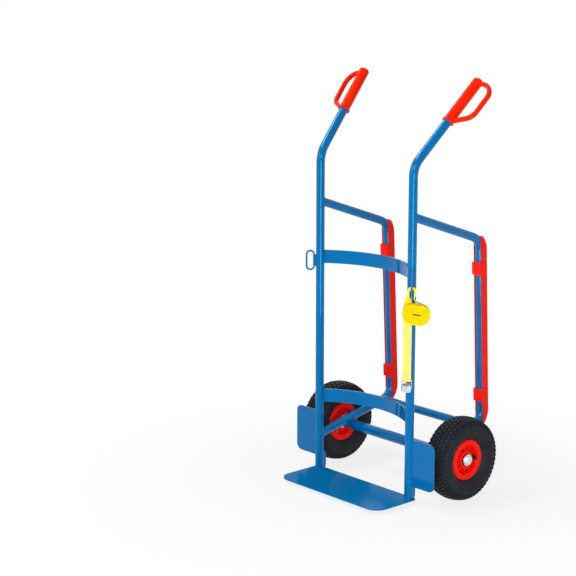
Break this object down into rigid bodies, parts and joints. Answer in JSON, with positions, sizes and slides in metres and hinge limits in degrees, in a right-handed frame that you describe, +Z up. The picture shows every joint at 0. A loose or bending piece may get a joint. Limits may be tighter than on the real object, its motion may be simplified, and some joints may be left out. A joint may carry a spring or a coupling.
{
  "type": "drum trolley",
  "caption": "Upright tubular trolley for drums with a toe plate, bowed cross bars, rear skids with plastic strips, pneumatic wheels, guarded grips and a rolled lashing strap.",
  "frame": {"origin": "middle of the footprint, on the floor", "axes": "+Z up, -Y towards the toe plate (front), +Y to the rear skids, +X to the right-hand wheel as seen from the front"},
  "size_m": [0.6332, 0.4978, 1.2841],
  "materials": {
    "blue_paint": "gloss powder coat",
    "plated_steel": "zinc plated",
    "bright_cap": "bright pressed steel",
    "red_plastic": "smooth moulded",
    "red_rim": "smooth moulded",
    "tyre_rubber": "matt rubber",
    "tube_rubber": "matt rubber",
    "black_plastic": "moulded",
    "bearing_steel": "ground",
    "cage_plastic": "moulded",
    "yellow_webbing": "woven webbing",
    "buckle_zinc": "zinc die casting"
  },
  "bodies": {
    "frame": {"left_upright": "blue_paint", "right_upright": "blue_paint", "left_skid_tube": "blue_paint", "right_skid_tube": "blue_paint", "left_foot_rib": "blue_paint", "right_foot_rib": "blue_paint", "left_wheel_guard": "blue_paint", "right_wheel_guard": "blue_paint", "left_strap_eye": "blue_paint", "right_strap_eye": "blue_paint", "left_eye_tab": "blue_paint", "right_eye_tab": "blue_paint", "rear_cross_tube": "blue_paint", "upper_crossbar": "blue_paint", "lower_crossbar": "blue_paint", "toe_plate": "blue_paint", "plate_runner": "blue_paint", "axle_tube": "blue_paint", "axle": "plated_steel", "axle_lock_pin": "plated_steel", "left_inner_washer": "plated_steel", "right_inner_washer": "plated_steel", "left_hub_cap": "bright_cap", "right_hub_cap": "bright_cap", "left_grip": "red_plastic", "right_grip": "red_plastic", "left_skid_strip": "red_plastic", "right_skid_strip": "red_plastic", "left_upper_strip_clip": "red_plastic", "right_upper_strip_clip": "red_plastic", "left_lower_strip_clip": "red_plastic", "right_lower_strip_clip": "red_plastic", "left_outer_washer": "black_plastic", "right_outer_washer": "black_plastic", "strap_band": "yellow_webbing", "strap_roll": "yellow_webbing", "buckle_frame": "buckle_zinc", "buckle_pin": "buckle_zinc", "buckle_spring": "buckle_zinc"},
    "left_wheel": {"left_tyre": "tyre_rubber", "left_inner_tube": "tube_rubber", "left_rim_outer": "red_rim", "left_rim_inner": "red_rim", "left_rim_bolts": "plated_steel", "left_rim_nuts": "plated_steel", "left_valve": "tube_rubber", "left_valve_cap": "black_plastic", "left_bearing_cage": "cage_plastic", "left_bearing_rollers": "bearing_steel"},
    "right_wheel": {"right_tyre": "tyre_rubber", "right_inner_tube": "tube_rubber", "right_rim_outer": "red_rim", "right_rim_inner": "red_rim", "right_rim_bolts": "plated_steel", "right_rim_nuts": "plated_steel", "right_valve": "tube_rubber", "right_valve_cap": "black_plastic", "right_bearing_cage": "cage_plastic", "right_bearing_rollers": "bearing_steel"},
    "buckle_lever": {"buckle_lever": "buckle_zinc"}
  },
  "joints": [
    {"name": "left_wheel_spin", "type": "hinge", "parent": "frame", "child": "left_wheel", "pos_m": [-0.274, 0.0591, 0.13], "axis": [1, 0, 0], "continuous": true},
    {"name": "right_wheel_spin", "type": "hinge", "parent": "frame", "child": "right_wheel", "pos_m": [0.274, 0.0591, 0.13], "axis": [1, 0, 0], "continuous": true},
    {"name": "buckle_lever_pivot", "type": "hinge", "parent": "frame", "child": "buckle_lever", "pos_m": [0.21004, -0.11649, 0.375], "axis": [-0.7071, -0.7071, 0], "range_deg": [0, 55], "stiffness_Nm_per_rad": 0.05, "springref_deg": -11.46}
  ]
}
